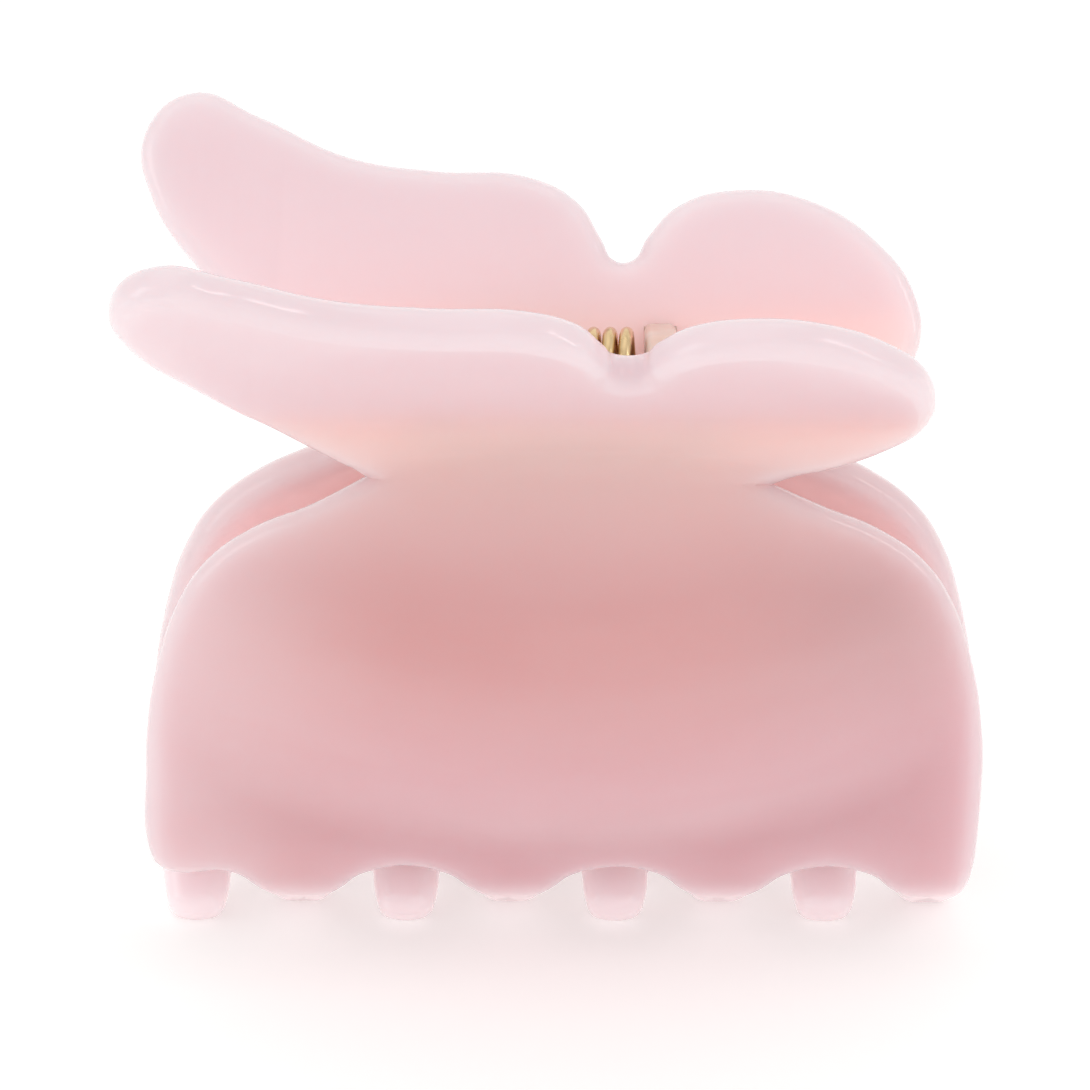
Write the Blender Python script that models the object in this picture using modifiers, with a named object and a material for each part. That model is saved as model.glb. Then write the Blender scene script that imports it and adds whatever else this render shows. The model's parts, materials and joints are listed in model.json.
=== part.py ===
"""Claw clip for hair: two bent acetate claws on a sprung hinge.

Metres, +Z up. X runs along the hinge pin, -Y is the front, and the closed clip stands
on the tips of its teeth at Z = 0. Both claws are drawn flat, as a blank in (x, s), where
s is the length along the sheet above the neck, and are then bent to the side profile:
a rim that stands upright, a neck that turns outwards into the wing, a curl that carries
the teeth inwards, and a pressed belly in the body.
"""

import math

import bmesh
import bpy
from mathutils import Matrix, Vector

MM = 0.001

# The sheet
SHEET = 4.0 * MM
EDGE_ROUND = 1.4 * MM

# The side profile, along the middle of the sheet
RIM_OFFSET = 4.6 * MM
RIM_HEIGHT = 36.5 * MM
NECK_RADIUS = 15.6 * MM
WING_LEAN = math.radians(38.3)
CURL_RADIUS = 8.0 * MM
CURL_ANGLE = math.radians(53.0)
FOOT_FLAT = 0.35 * MM

# The blank of the body
BODY_HALF_WIDTH = 38.7 * MM
NECK_HALF_WIDTH = 18.2 * MM
VALLEY_BELOW_RIM = 3.7 * MM
SHOULDER_ABOVE_RIM = 6.5 * MM
CORNER_RADIUS = 2.8 * MM

# The pressed belly, over an oval that reaches past the neck and the rim's foot
BELLY_DEPTH = 12.0 * MM
BELLY_SIDE_INSET = 0.2 * MM
BELLY_ABOVE_NECK = 4.0 * MM
BELLY_BELOW_RIM = 1.5 * MM
BELLY_ACROSS_POWER = 2.2
BELLY_ALONG_POWER = 2.0
BELLY_FULLNESS = 1.6

# The teeth. The two combs interlock, as each is set off by a quarter of the pitch.
TOOTH_COUNT = 4
TOOTH_SIDE_INSET = 4.05 * MM
TOOTH_LENGTH = 9.5 * MM
TOOTH_HALF_ROOT = 6.3 * MM
TOOTH_HALF_NECK = 3.4 * MM
TOOTH_HALF_TIP = 2.8 * MM
ROOT_FILLET = 3.2 * MM
FILLET_BULGE = 0.9 * MM
FILLET_RUN = 0.7 * MM
TIP_RADIUS = 1.9 * MM

# The hinge
HINGE_ABOVE_NECK = 9.2 * MM
PIN_RADIUS = 1.0 * MM
PIN_CLEARANCE = 0.1 * MM
HEAD_RADIUS = 1.9 * MM
HEAD_THICKNESS = 0.9 * MM
CAP_WALL = 0.5 * MM
BARREL_RADIUS = 3.2 * MM
LUG_WIDTH = 3.0 * MM
LUG_ROOT_RISE = 1.5 * MM
LUG_GAP = 0.3 * MM
GLUE_GAP = 0.3 * MM
LUG_EDGE = 0.3 * MM
HEAD_GAP = 0.15 * MM

# The spring
WIRE_RADIUS = 0.6 * MM
LEG_GAP = 0.3 * MM
COIL_LENGTH = 13.4 * MM
COIL_TURNS = 9
LEG_LENGTH = 4.8 * MM
COIL_GAP = 0.3 * MM

# How finely the sheet and the round pieces are cut
NECK_STEPS = 6
CURL_STEPS = 6
BODY_STEP = 5.5 * MM
ROUND_STEPS = 20
TURN_STEPS = 12
DOME_STEPS = 4
SEAT_STEPS = 6
SMOOTH_UP_TO = math.radians(35.0)

# Heights and places that follow from the sizes above
VALLEY_BELOW_NECK = RIM_HEIGHT + VALLEY_BELOW_RIM
SHOULDER_LEVEL = RIM_HEIGHT - SHOULDER_ABOVE_RIM
BELLY_HALF_WIDTH = BODY_HALF_WIDTH - BELLY_SIDE_INSET
BELLY_HALF_HEIGHT = (RIM_HEIGHT + BELLY_ABOVE_NECK + BELLY_BELOW_RIM) / 2
BELLY_BELOW_NECK = BELLY_HALF_HEIGHT - BELLY_ABOVE_NECK
TOOTH_END = VALLEY_BELOW_NECK + TOOTH_LENGTH
LAST_TOOTH_PLACE = (TOOTH_COUNT - 1) / 2 + 0.25
TOOTH_PITCH = (BODY_HALF_WIDTH - TOOTH_SIDE_INSET) / LAST_TOOTH_PLACE
CURL_LENGTH = CURL_RADIUS * CURL_ANGLE
NECK_LENGTH = NECK_RADIUS * WING_LEAN
TIP_STRAIGHT = TOOTH_END - RIM_HEIGHT - CURL_LENGTH - EDGE_ROUND
TIP_DROP = (
    RIM_HEIGHT
    + CURL_RADIUS * math.sin(CURL_ANGLE)
    + TIP_STRAIGHT * math.cos(CURL_ANGLE)
    + (SHEET / 2 - EDGE_ROUND) * math.sin(CURL_ANGLE)
    + EDGE_ROUND
)
NECK_Z = TIP_DROP - FOOT_FLAT
HINGE_Z = NECK_Z + HINGE_ABOVE_NECK
BORE_RADIUS = PIN_RADIUS + PIN_CLEARANCE
ARC_END_OUT = RIM_OFFSET + NECK_RADIUS * (1 - math.cos(WING_LEAN))
ARC_END_UP = NECK_RADIUS * math.sin(WING_LEAN) - HINGE_ABOVE_NECK
HINGE_TO_WING = ARC_END_OUT * math.cos(WING_LEAN) - ARC_END_UP * math.sin(WING_LEAN)
COIL_RADIUS = HINGE_TO_WING - SHEET / 2 - LEG_GAP - WIRE_RADIUS
INNER_LUG_X = COIL_LENGTH / 2 + COIL_GAP + LUG_WIDTH / 2
OUTER_LUG_X = INNER_LUG_X + LUG_WIDTH + LUG_GAP
PIN_HALF = OUTER_LUG_X + LUG_WIDTH / 2 + HEAD_GAP

# The wing's blank, from the left corner of the neck round to the right one. The last
# value says whether the point is a corner.
WING_OUTLINE = (
    (-17.9, 0.8, True),
    (-25.2, 6.4, False),
    (-33.0, 15.0, False),
    (-37.9, 22.2, False),
    (-38.7, 28.4, False),
    (-34.4, 32.3, False),
    (-28.4, 30.1, False),
    (-20.0, 26.2, False),
    (-12.0, 24.9, False),
    (-3.6, 24.4, False),
    (1.0, 22.0, False),
    (3.2, 18.5, False),
    (4.4, 16.5, False),
    (6.0, 16.5, False),
    (7.4, 18.7, False),
    (10.3, 21.7, False),
    (15.6, 23.2, False),
    (22.3, 22.2, False),
    (28.2, 18.5, False),
    (31.9, 13.0, False),
    (31.9, 8.0, False),
    (28.6, 4.4, False),
    (18.4, 0.2, True),
)
# The shoulder of the body's blank as shares of the way from the neck's corner to the
# side, and from the neck down to the widest level.
SHOULDER = ((0.22, 0.06), (0.49, 0.145), (0.69, 0.252), (0.82, 0.39), (0.91, 0.57), (0.98, 0.80))


def principled(name, color, roughness, metallic=0.0, transmission=0.0):
    material = bpy.data.materials.new(name)
    material.use_nodes = True
    shader = material.node_tree.nodes["Principled BSDF"]
    shader.inputs["Base Color"].default_value = (*color, 1.0)
    shader.inputs["Roughness"].default_value = roughness
    shader.inputs["Metallic"].default_value = metallic
    shader.inputs["Transmission Weight"].default_value = transmission
    return material


def new_collection(name):
    collection = bpy.data.collections.new(name)
    bpy.context.scene.collection.children.link(collection)
    return collection


def profile(s):
    """Offset from the middle plane, height and outward lean of the bent sheet at s."""
    if s >= 0:
        turned = min(s / NECK_RADIUS, WING_LEAN)
        straight = s - NECK_RADIUS * turned
        out = RIM_OFFSET + NECK_RADIUS * (1 - math.cos(turned))
        height = NECK_Z + NECK_RADIUS * math.sin(turned)
        return out + straight * math.sin(turned), height + straight * math.cos(turned), turned
    below = max(-s - RIM_HEIGHT, 0.0)
    turned = min(below / CURL_RADIUS, CURL_ANGLE)
    straight = below - CURL_RADIUS * turned
    out = RIM_OFFSET - CURL_RADIUS * (1 - math.cos(turned))
    height = NECK_Z + max(s, -RIM_HEIGHT) - CURL_RADIUS * math.sin(turned)
    return out - straight * math.sin(turned), height - straight * math.cos(turned), turned


def belly(x, s):
    """How far the press pushes the sheet out at (x, s)."""
    across = abs(x) / BELLY_HALF_WIDTH
    along = abs(s + BELLY_BELOW_NECK) / BELLY_HALF_HEIGHT
    share = 1 - across**BELLY_ACROSS_POWER - along**BELLY_ALONG_POWER
    return BELLY_DEPTH * max(share, 0.0) ** BELLY_FULLNESS


def bent(x, s, w):
    """The point of the claw that lies at (x, s) of the blank, w inwards from its middle."""
    out, height, lean = profile(s)
    step = 0.2 * MM
    rise_x = (belly(x + step, s) - belly(x - step, s)) / (2 * step)
    rise_s = (belly(x, s + step) - belly(x, s - step)) / (2 * step)
    along_x = Vector((1.0, rise_x, 0.0))
    along_s = Vector((0.0, math.sin(lean) + rise_s, math.cos(lean)))
    normal = along_s.cross(along_x).normalized()
    return Vector((x, out + belly(x, s), height)) - w * normal


def shoulder_points(side):
    """The body's shoulder from the neck's corner down to the widest level."""
    reach = BODY_HALF_WIDTH - NECK_HALF_WIDTH
    for across, down in SHOULDER:
        yield side * (NECK_HALF_WIDTH + reach * across), -SHOULDER_LEVEL * down, False
    yield side * BODY_HALF_WIDTH, -SHOULDER_LEVEL, False


def tooth_points(x, at_side):
    """One tooth, walked from its left root to its right one."""
    valley = -VALLEY_BELOW_NECK
    neck = valley - ROOT_FILLET
    tip = -TOOTH_END
    slant = math.sqrt(0.5) * TIP_RADIUS
    yield x - TOOTH_HALF_ROOT, valley, False
    yield x - TOOTH_HALF_NECK - FILLET_BULGE, neck + FILLET_BULGE, False
    yield x - TOOTH_HALF_NECK, neck - FILLET_RUN, False
    yield x - TOOTH_HALF_TIP, tip + TIP_RADIUS, False
    yield x - TOOTH_HALF_TIP + TIP_RADIUS - slant, tip + TIP_RADIUS - slant, False
    yield x - TOOTH_HALF_TIP + TIP_RADIUS, tip, False
    yield x + TOOTH_HALF_TIP - TIP_RADIUS, tip, False
    yield x + TOOTH_HALF_TIP - TIP_RADIUS + slant, tip + TIP_RADIUS - slant, False
    yield x + TOOTH_HALF_TIP, tip + TIP_RADIUS, False
    if at_side:
        return
    yield x + TOOTH_HALF_NECK, neck - FILLET_RUN, False
    yield x + TOOTH_HALF_NECK + FILLET_BULGE, neck + FILLET_BULGE, False
    yield x + TOOTH_HALF_ROOT, valley, False


def comb_points():
    """The bottom edge from the toothless corner on the left to the last tooth."""
    left = -BODY_HALF_WIDTH
    valley = -VALLEY_BELOW_NECK
    slant = math.sqrt(0.5) * CORNER_RADIUS
    yield left, valley + CORNER_RADIUS, False
    yield left + CORNER_RADIUS - slant, valley + CORNER_RADIUS - slant, False
    yield left + CORNER_RADIUS, valley, False
    for i in range(TOOTH_COUNT):
        place = LAST_TOOTH_PLACE - (TOOTH_COUNT - 1 - i)
        yield from tooth_points(place * TOOTH_PITCH, i == TOOTH_COUNT - 1)


def claw_outline(tooth_side):
    """The whole blank, anticlockwise. tooth_side is the side whose corner is a tooth."""
    comb = list(comb_points())
    if tooth_side < 0:
        comb = [(-x, s, corner) for x, s, corner in reversed(comb)]
    wing = [(x * MM, s * MM, corner) for x, s, corner in reversed(WING_OUTLINE)]
    left = list(shoulder_points(-1))
    right = list(reversed(list(shoulder_points(1))))
    return wing + left + comb + right


def filled_curve(name, outlines, thickness, rounding, resolution):
    """A flat curve object with rounded edges, from smooth outlines of (x, y, corner)."""
    curve = bpy.data.curves.new(name, "CURVE")
    curve.dimensions = "2D"
    curve.fill_mode = "BOTH"
    curve.resolution_u = resolution
    curve.extrude = thickness / 2 - rounding
    curve.bevel_depth = rounding
    curve.bevel_resolution = 1
    curve.offset = -rounding
    for outline in outlines:
        spline = curve.splines.new("BEZIER")
        spline.bezier_points.add(len(outline) - 1)
        spline.use_cyclic_u = True
        for point, (x, y, corner) in zip(spline.bezier_points, outline):
            point.co = (x, y, 0.0)
            kind = "VECTOR" if corner else "AUTO"
            point.handle_left_type = kind
            point.handle_right_type = kind
    return bpy.data.objects.new(name, curve)


def mesh_of(obj, name):
    """The curve object as a welded mesh, with the curve removed."""
    bpy.context.scene.collection.objects.link(obj)
    bpy.context.view_layer.update()
    graph = bpy.context.evaluated_depsgraph_get()
    mesh = bpy.data.meshes.new_from_object(obj.evaluated_get(graph))
    mesh.name = name
    curve = obj.data
    bpy.data.objects.remove(obj)
    bpy.data.curves.remove(curve)
    shape = bmesh.new()
    shape.from_mesh(mesh)
    bmesh.ops.remove_doubles(shape, verts=shape.verts, dist=0.0001 * MM)
    return mesh, shape


def slice_sheet(shape):
    """Cuts the flat blank where it will bend, so that the bends come out round."""
    flat = math.radians(0.5)
    bmesh.ops.dissolve_limit(
        shape, angle_limit=flat, verts=[], edges=[e for e in shape.edges if len(e.link_faces) == 2]
    )
    cuts = [(1, NECK_LENGTH * i / NECK_STEPS) for i in range(NECK_STEPS + 1)]
    cuts += [(1, -RIM_HEIGHT - CURL_LENGTH * i / CURL_STEPS) for i in range(CURL_STEPS + 1)]
    rows = round(RIM_HEIGHT / BODY_STEP)
    cuts += [(1, -RIM_HEIGHT * i / rows) for i in range(1, rows)]
    columns = round(BELLY_HALF_WIDTH / BODY_STEP)
    cuts += [(0, BELLY_HALF_WIDTH * i / columns) for i in range(-columns, columns + 1)]
    for axis, place in cuts:
        point, normal = Vector((0, 0, 0)), Vector((0, 0, 0))
        point[axis] = place
        normal[axis] = 1.0
        geometry = list(shape.verts) + list(shape.edges) + list(shape.faces)
        bmesh.ops.bisect_plane(
            shape, geom=geometry, dist=0.001 * MM, plane_co=point, plane_no=normal
        )


def cut_feet(shape):
    """Levels the lowest part of each tooth, so that the clip has flat feet."""
    geometry = list(shape.verts) + list(shape.edges) + list(shape.faces)
    bmesh.ops.bisect_plane(
        shape,
        geom=geometry,
        dist=0.001 * MM,
        plane_co=(0, 0, 0),
        plane_no=(0, 0, -1),
        clear_outer=True,
    )
    open_edges = [edge for edge in shape.edges if len(edge.link_faces) == 1]
    bmesh.ops.holes_fill(shape, edges=open_edges, sides=0)


def make_claw(name, side, tooth_side, material, collection):
    """One claw. side is -1 for the front and +1 for the back."""
    flat = filled_curve(name, [claw_outline(tooth_side)], SHEET, EDGE_ROUND, 3)
    mesh, shape = mesh_of(flat, name)
    slice_sheet(shape)
    for vertex in shape.verts:
        x, s, w = vertex.co
        place = bent(x, s, w)
        vertex.co = (place.x, side * place.y, place.z)
    cut_feet(shape)
    bmesh.ops.triangulate(shape, faces=shape.faces)
    bmesh.ops.recalc_face_normals(shape, faces=shape.faces)
    return finish_mesh(name, mesh, shape, material, collection)


def finish_mesh(name, mesh, shape, material, collection):
    shape.to_mesh(mesh)
    shape.free()
    mesh.materials.clear()
    mesh.materials.append(material)
    mesh.shade_smooth()
    mesh.set_sharp_from_angle(angle=SMOOTH_UP_TO)
    obj = bpy.data.objects.new(name, mesh)
    collection.objects.link(obj)
    return obj


def seat_offset(height):
    """How far from the middle plane a lug may reach at this height: the claw's inner
    face, less the glue line."""
    reach = SHEET / 2 + GLUE_GAP
    arc_top = NECK_Z + (NECK_RADIUS + reach) * math.sin(WING_LEAN)
    if height <= arc_top:
        rise = height - NECK_Z
        return RIM_OFFSET + NECK_RADIUS - math.sqrt((NECK_RADIUS + reach) ** 2 - rise**2)
    foot = RIM_OFFSET + NECK_RADIUS - (NECK_RADIUS + reach) * math.cos(WING_LEAN)
    return foot + (height - arc_top) * math.tan(WING_LEAN)


def lug_outline():
    """The lug's side view about the pin: a barrel with a root shaped to the claw."""
    points = []
    for i in range(ROUND_STEPS // 2 + 1):
        angle = math.pi / 2 + math.pi * i / (ROUND_STEPS // 2)
        points.append((BARREL_RADIUS * math.cos(angle), BARREL_RADIUS * math.sin(angle)))
    for i in range(SEAT_STEPS + 1):
        height = -BARREL_RADIUS + (BARREL_RADIUS + LUG_ROOT_RISE) * i / SEAT_STEPS
        points.append((seat_offset(HINGE_Z + height), height))
    return points


def bore_outline():
    for i in range(ROUND_STEPS):
        angle = -math.tau * i / ROUND_STEPS
        yield BORE_RADIUS * math.cos(angle), BORE_RADIUS * math.sin(angle)


def make_lug(name, side, x, material, collection):
    """A hinge lug glued inside the claw on this side, drawn in the YZ plane."""
    curve = bpy.data.curves.new(name, "CURVE")
    curve.dimensions = "2D"
    curve.fill_mode = "BOTH"
    curve.extrude = LUG_WIDTH / 2 - LUG_EDGE
    curve.bevel_depth = LUG_EDGE
    curve.bevel_resolution = 0
    curve.offset = -LUG_EDGE
    for outline in (lug_outline(), list(bore_outline())):
        spline = curve.splines.new("POLY")
        spline.points.add(len(outline) - 1)
        spline.use_cyclic_u = True
        for point, (y, z) in zip(spline.points, outline):
            point.co = (y, z, 0.0, 1.0)
    mesh, shape = mesh_of(bpy.data.objects.new(name, curve), name)
    turn = Matrix(((0, 0, 1), (side, 0, 0), (0, 1, 0))).to_4x4()
    bmesh.ops.transform(shape, matrix=turn, verts=shape.verts)
    bmesh.ops.recalc_face_normals(shape, faces=shape.faces)
    obj = finish_mesh(name, mesh, shape, material, collection)
    obj.location = (x, 0, HINGE_Z)
    return obj


def make_turned(name, points, material, collection):
    """A piece turned about the pin's axis. Its profile of (x, radius) is walked from
    left to right over the outside."""
    mesh = bpy.data.meshes.new(name)
    edges = [(i, i + 1) for i in range(len(points) - 1)]
    mesh.from_pydata([(x, radius, 0.0) for x, radius in reversed(points)], edges, [])
    mesh.materials.append(material)
    obj = bpy.data.objects.new(name, mesh)
    collection.objects.link(obj)
    obj.location = (0, 0, HINGE_Z)
    screw = obj.modifiers.new("Turn", "SCREW")
    screw.axis = "X"
    screw.steps = ROUND_STEPS
    screw.render_steps = ROUND_STEPS
    screw.use_merge_vertices = True
    screw.merge_threshold = 0.01 * MM
    return obj


def dome(start, end, radius):
    """Profile points of a shallow dome whose rim is at start and whose crown is at end."""
    for i in range(DOME_STEPS + 1):
        angle = math.pi / 2 * i / DOME_STEPS
        yield start + (end - start) * math.sin(angle), radius * math.cos(angle)


def make_pin(material, collection):
    """The pin, with its formed head on the left, and the cap pressed on its right end."""
    head = list(dome(-PIN_HALF, -PIN_HALF - HEAD_THICKNESS, HEAD_RADIUS))
    shank_end = PIN_HALF + HEAD_THICKNESS - CAP_WALL
    pin = list(reversed(head))
    pin += [(-PIN_HALF, PIN_RADIUS), (shank_end, PIN_RADIUS), (shank_end, 0.0)]
    make_turned("hinge_pin", pin, material, collection)
    crown = PIN_HALF + HEAD_THICKNESS + CAP_WALL
    floor = shank_end + PIN_CLEARANCE
    cap = [(floor, 0.0), (floor, BORE_RADIUS), (PIN_HALF, BORE_RADIUS)]
    cap += list(dome(PIN_HALF, crown, HEAD_RADIUS))
    make_turned("pin_cap", cap, material, collection)


def spring_points():
    """The wire's path: up the back wing's leg, round the coil, up the front wing's leg."""
    start = -WING_LEAN
    sweep = math.tau * COIL_TURNS - (math.pi - 2 * WING_LEAN) - math.pi
    half = COIL_LENGTH / 2 - WIRE_RADIUS
    rise = Vector((0, math.sin(WING_LEAN), math.cos(WING_LEAN))) * LEG_LENGTH
    back = Vector((-half, COIL_RADIUS * math.cos(start), COIL_RADIUS * math.sin(start)))
    points = [back + rise, back + rise / 2]
    steps = round(TURN_STEPS * sweep / math.tau)
    for i in range(steps + 1):
        angle = start - sweep * i / steps
        x = -half + 2 * half * i / steps
        points.append(Vector((x, COIL_RADIUS * math.cos(angle), COIL_RADIUS * math.sin(angle))))
    front = Vector((0, -rise.y, rise.z))
    end = points[-1]
    points += [end + front / 2, end + front]
    return points


def make_spring(material, collection):
    curve = bpy.data.curves.new("torsion_spring", "CURVE")
    curve.dimensions = "3D"
    curve.bevel_depth = WIRE_RADIUS
    curve.bevel_resolution = 2
    curve.use_fill_caps = True
    spline = curve.splines.new("POLY")
    points = spring_points()
    spline.points.add(len(points) - 1)
    for point, place in zip(spline.points, points):
        point.co = (*place, 1.0)
    curve.materials.append(material)
    spring = bpy.data.objects.new("torsion_spring", curve)
    spring.location = (0, 0, HINGE_Z)
    collection.objects.link(spring)


def main():
    for obj in list(bpy.data.objects):
        bpy.data.objects.remove(obj)
    clip = new_collection("claw_clip")
    acetate = principled("pink_acetate", (0.80, 0.50, 0.50), 0.12, 0.0, 0.25)
    gold = principled("gold_metal", (0.72, 0.54, 0.27), 0.22, 1.0)
    make_claw("front_claw", -1, 1, acetate, clip)
    make_claw("back_claw", 1, -1, acetate, clip)
    for word, hand in (("left", -1), ("right", 1)):
        make_lug(f"front_lug_{word}", -1, hand * OUTER_LUG_X, acetate, clip)
        make_lug(f"back_lug_{word}", 1, hand * INNER_LUG_X, acetate, clip)
    make_pin(gold, clip)
    make_spring(gold, clip)


main()
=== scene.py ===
"""Pink acetate claw clip with butterfly wings, on a pale studio floor.

Each claw is drawn flat, as the blank that is cut from the sheet, and is then bent to its
side profile: an upright rim, a neck that turns out into the wing, a curl that carries the
teeth inwards, and a pressed belly. A point of the blank is (x, s, w): x along the hinge
pin, s up the sheet from the neck, and w inwards from the middle of the sheet.
"""

import json
import logging
import math
from dataclasses import dataclass, field
from enum import Enum
from typing import Iterator, Sequence

import bmesh
import bpy
from mathutils import Matrix, Vector
from mathutils.kdtree import KDTree

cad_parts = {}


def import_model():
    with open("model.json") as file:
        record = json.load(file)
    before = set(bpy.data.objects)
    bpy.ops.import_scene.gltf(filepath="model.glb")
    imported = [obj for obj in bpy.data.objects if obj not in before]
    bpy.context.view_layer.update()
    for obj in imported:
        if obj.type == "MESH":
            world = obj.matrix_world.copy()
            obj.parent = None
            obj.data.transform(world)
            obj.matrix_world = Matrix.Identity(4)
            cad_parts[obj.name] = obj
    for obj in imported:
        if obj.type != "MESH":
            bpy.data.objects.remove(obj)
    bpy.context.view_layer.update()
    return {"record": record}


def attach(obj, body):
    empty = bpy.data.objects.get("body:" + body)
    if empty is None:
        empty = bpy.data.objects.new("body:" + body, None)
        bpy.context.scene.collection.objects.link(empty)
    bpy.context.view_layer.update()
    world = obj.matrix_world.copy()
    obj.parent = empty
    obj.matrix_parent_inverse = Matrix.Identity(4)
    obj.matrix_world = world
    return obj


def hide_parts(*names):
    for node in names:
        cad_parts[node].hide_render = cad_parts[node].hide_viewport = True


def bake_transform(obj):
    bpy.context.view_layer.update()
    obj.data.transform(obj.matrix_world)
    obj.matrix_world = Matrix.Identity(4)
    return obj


LOG = logging.getLogger("claw_clip")
MM = 0.001
BLANK_MAP = "blank"
# mask of the painted highlight along the claws' rounded edges
EDGE_SHEEN_MASK = "rim_mask"
LIT_MASK = "lit_mask"
ACETATE_IOR = 1.48
CUT_TOLERANCE = 0.001 * MM
DOUBLE_DISTANCE = 0.0001 * MM

BlankPoint = tuple[float, float, bool]
Color = tuple[float, float, float]
Value = bpy.types.NodeSocket | float


class Side(Enum):
    """Which half of the clip a piece belongs to."""

    FRONT = -1
    BACK = 1

    @property
    def word(self) -> str:
        """The side's word in the names of nodes and bodies."""
        return self.name.lower()

    @property
    def body(self) -> str:
        """The body that the pieces of this side ride on."""
        return f"{self.word}_half"


class Hand(Enum):
    """Left or right, as seen from the front."""

    LEFT = -1
    RIGHT = 1


# ----------------------------------------------------------------------------- meshes


def finished_object(name: str, shape: bmesh.types.BMesh, smooth_degrees: float) -> bpy.types.Object:
    """Makes an object at the origin from a finished shape.

    Args:
        name: the object's name.
        shape: the geometry, with its place in it. It is freed.
        smooth_degrees: edges that turn by more than this stay crisp.

    Returns:
        The new object, linked to the scene.
    """
    mesh = bpy.data.meshes.new(name)
    shape.to_mesh(mesh)
    shape.free()
    mesh.shade_smooth()
    mesh.set_sharp_from_angle(angle=math.radians(smooth_degrees))
    obj = bpy.data.objects.new(name, mesh)
    bpy.context.scene.collection.objects.link(obj)
    return obj


def shape_of(obj: bpy.types.Object) -> bmesh.types.BMesh:
    """Turns a curve object into a welded shape and removes the object.

    Args:
        obj: a curve object that isn't linked yet.

    Returns:
        The evaluated geometry with its doubles merged.
    """
    bpy.context.scene.collection.objects.link(obj)
    bpy.context.view_layer.update()
    graph = bpy.context.evaluated_depsgraph_get()
    mesh = bpy.data.meshes.new_from_object(obj.evaluated_get(graph))
    curve = obj.data
    bpy.data.objects.remove(obj)
    bpy.data.curves.remove(curve)
    shape = bmesh.new()
    shape.from_mesh(mesh)
    bpy.data.meshes.remove(mesh)
    bmesh.ops.remove_doubles(shape, verts=shape.verts, dist=DOUBLE_DISTANCE)
    return shape


def plate_curve(name: str, thickness: float, edge: float, edge_steps: int) -> bpy.types.Curve:
    """Starts a flat filled curve that stands for a plate with rounded edges.

    Args:
        name: the curve's name.
        thickness: the plate's thickness.
        edge: the radius of its edges.
        edge_steps: how finely they are rounded.

    Returns:
        The curve, which has no outline yet.
    """
    curve = bpy.data.curves.new(name, "CURVE")
    curve.dimensions = "2D"
    curve.fill_mode = "BOTH"
    curve.extrude = thickness / 2 - edge
    curve.bevel_depth = edge
    curve.bevel_resolution = edge_steps
    curve.offset = -edge
    return curve


def whole(shape: bmesh.types.BMesh) -> list:
    """Every vertex, edge and face of a shape, as the bisect wants them."""
    return list(shape.verts) + list(shape.edges) + list(shape.faces)


def clamped(value: float) -> float:
    """The value, kept from 0 to 1."""
    return min(max(value, 0.0), 1.0)


def eased(share: float) -> float:
    """A share from 0 to 1 with a gentle start and end."""
    return share * share * (3 - 2 * share)


# ---------------------------------------------------------------------------- finishes


def link(tree: bpy.types.NodeTree, source: bpy.types.NodeSocket, target: bpy.types.NodeSocket) -> None:
    """Joins two sockets of a node tree."""
    tree.links.new(source, target)


def feed(tree: bpy.types.NodeTree, value: Value, target: bpy.types.NodeSocket) -> None:
    """Gives an input its value.

    Args:
        tree: the tree that it is in.
        value: a socket to link from, or a value to set.
        target: the input.
    """
    if isinstance(value, bpy.types.NodeSocket):
        link(tree, value, target)
    else:
        target.default_value = value


def math_node(tree: bpy.types.NodeTree, operation: str, *values: Value) -> bpy.types.NodeSocket:
    """Adds a Math node.

    Args:
        tree: the tree that it goes in.
        operation: the node's operation.
        values: the operation's values, each a socket or a number.

    Returns:
        The result's socket.
    """
    node = tree.nodes.new("ShaderNodeMath")
    node.operation = operation
    for value, socket in zip(values, node.inputs):
        feed(tree, value, socket)
    return node.outputs[0]


def ramp_node(
    tree: bpy.types.NodeTree,
    value: bpy.types.NodeSocket,
    start: Value,
    end: Value,
    low: float = 0.0,
    high: float = 1.0,
    kind: str = "SMOOTHSTEP",
) -> bpy.types.NodeSocket:
    """Adds a clamped Map Range from low at start to high at end.

    Args:
        tree: the tree that it goes in.
        value: the value that runs from start to end.
        start: the value that gives low.
        end: the value that gives high.
        low: what start gives.
        high: what end gives.
        kind: the node's interpolation.

    Returns:
        The result's socket.
    """
    node = tree.nodes.new("ShaderNodeMapRange")
    node.interpolation_type = kind
    feed(tree, value, node.inputs["Value"])
    feed(tree, start, node.inputs["From Min"])
    feed(tree, end, node.inputs["From Max"])
    feed(tree, low, node.inputs["To Min"])
    feed(tree, high, node.inputs["To Max"])
    return node.outputs["Result"]


def mix_node(
    tree: bpy.types.NodeTree,
    share: bpy.types.NodeSocket,
    first: bpy.types.NodeSocket | Color,
    second: bpy.types.NodeSocket | Color,
) -> bpy.types.NodeSocket:
    """Adds a colour Mix.

    Args:
        tree: the tree that it goes in.
        share: how much of the second colour shows.
        first: the first colour, as a socket or a colour.
        second: the second colour, as a socket or a colour.

    Returns:
        The mixed colour's socket.
    """
    node = tree.nodes.new("ShaderNodeMix")
    node.data_type = "RGBA"
    link(tree, share, node.inputs["Factor"])
    for place, colour in ((6, first), (7, second)):
        feed(tree, (*colour, 1.0) if isinstance(colour, tuple) else colour, node.inputs[place])
    return node.outputs[2]


def product(tree: bpy.types.NodeTree, *shares: Value) -> bpy.types.NodeSocket:
    """Multiplies two or more values.

    Args:
        tree: the tree that the Math nodes go in.
        shares: the values, each a socket or a number.

    Returns:
        The result's socket.
    """
    result = shares[0]
    for share in shares[1:]:
        result = math_node(tree, "MULTIPLY", result, share)
    return result


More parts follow.
